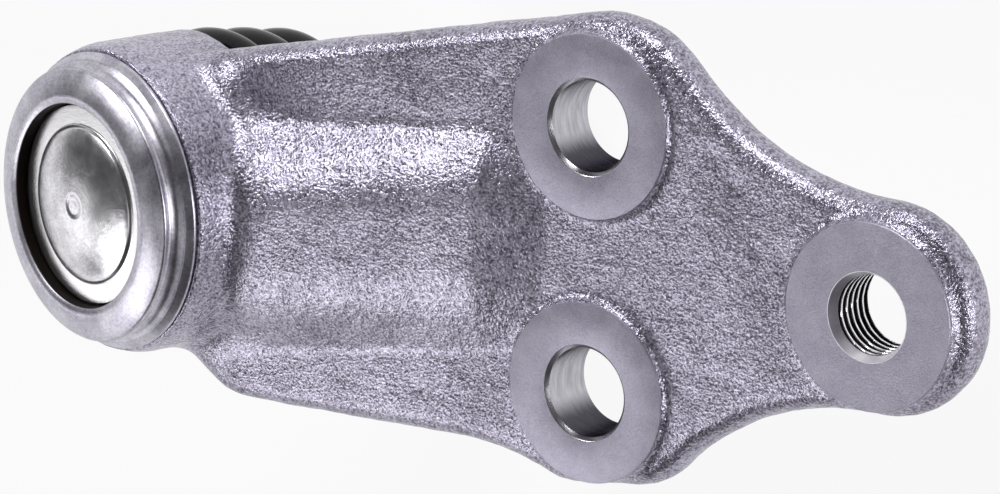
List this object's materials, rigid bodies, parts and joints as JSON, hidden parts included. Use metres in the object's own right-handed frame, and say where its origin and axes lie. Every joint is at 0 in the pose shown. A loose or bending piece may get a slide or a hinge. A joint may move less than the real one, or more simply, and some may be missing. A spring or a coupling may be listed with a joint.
{
  "type": "suspension ball joint",
  "caption": "Forged suspension ball joint with a bolt-on plate, leaning socket with rolled-in cap, bellows dust boot and tapered stud with castle nut.",
  "frame": {"origin": "centre of the ball", "axes": "+Z along the bolt holes, towards the capped side of the socket; +X along the arm to the threaded hole; +Y to the upper plain hole; the socket's axis leans 12.4 degrees from +Z towards -X"},
  "size_m": [0.1612, 0.0656, 0.0838],
  "materials": {
    "forging": "shot-blasted and zinc coated",
    "cap_steel": "pressed and turned",
    "stud_steel": "ground",
    "fastener": "zinc plated",
    "spring_steel": "oiled",
    "seat_plastic": "moulded",
    "boot_rubber": "glossy moulded"
  },
  "bodies": {
    "housing": {"forged_housing": "forging", "end_cap": "cap_steel", "upper_bearing_seat": "seat_plastic", "lower_bearing_seat": "seat_plastic", "preload_spring": "spring_steel", "boot_socket_ring": "spring_steel"},
    "boot": {"dust_boot": "boot_rubber"},
    "boot_ring": {"boot_stud_ring": "spring_steel"},
    "stud": {"ball_stud": "stud_steel", "castle_nut": "fastener", "split_pin": "fastener"}
  },
  "joints": [
    {"name": "swing_along", "type": "hinge", "parent": "housing", "child": "boot", "pos_m": [0, 0, 0], "axis": [0, 1, 0], "range_deg": [-20, 20], "deforming": ["dust_boot"]},
    {"name": "swing_across", "type": "hinge", "parent": "boot", "child": "boot_ring", "pos_m": [0, 0, 0], "axis": [0.9767, 0, 0.2147], "range_deg": [-20, 20], "deforming": ["dust_boot"]},
    {"name": "stud_spin", "type": "hinge", "parent": "boot_ring", "child": "stud", "pos_m": [0, 0, 0], "axis": [-0.2147, 0, 0.9767], "continuous": true}
  ]
}
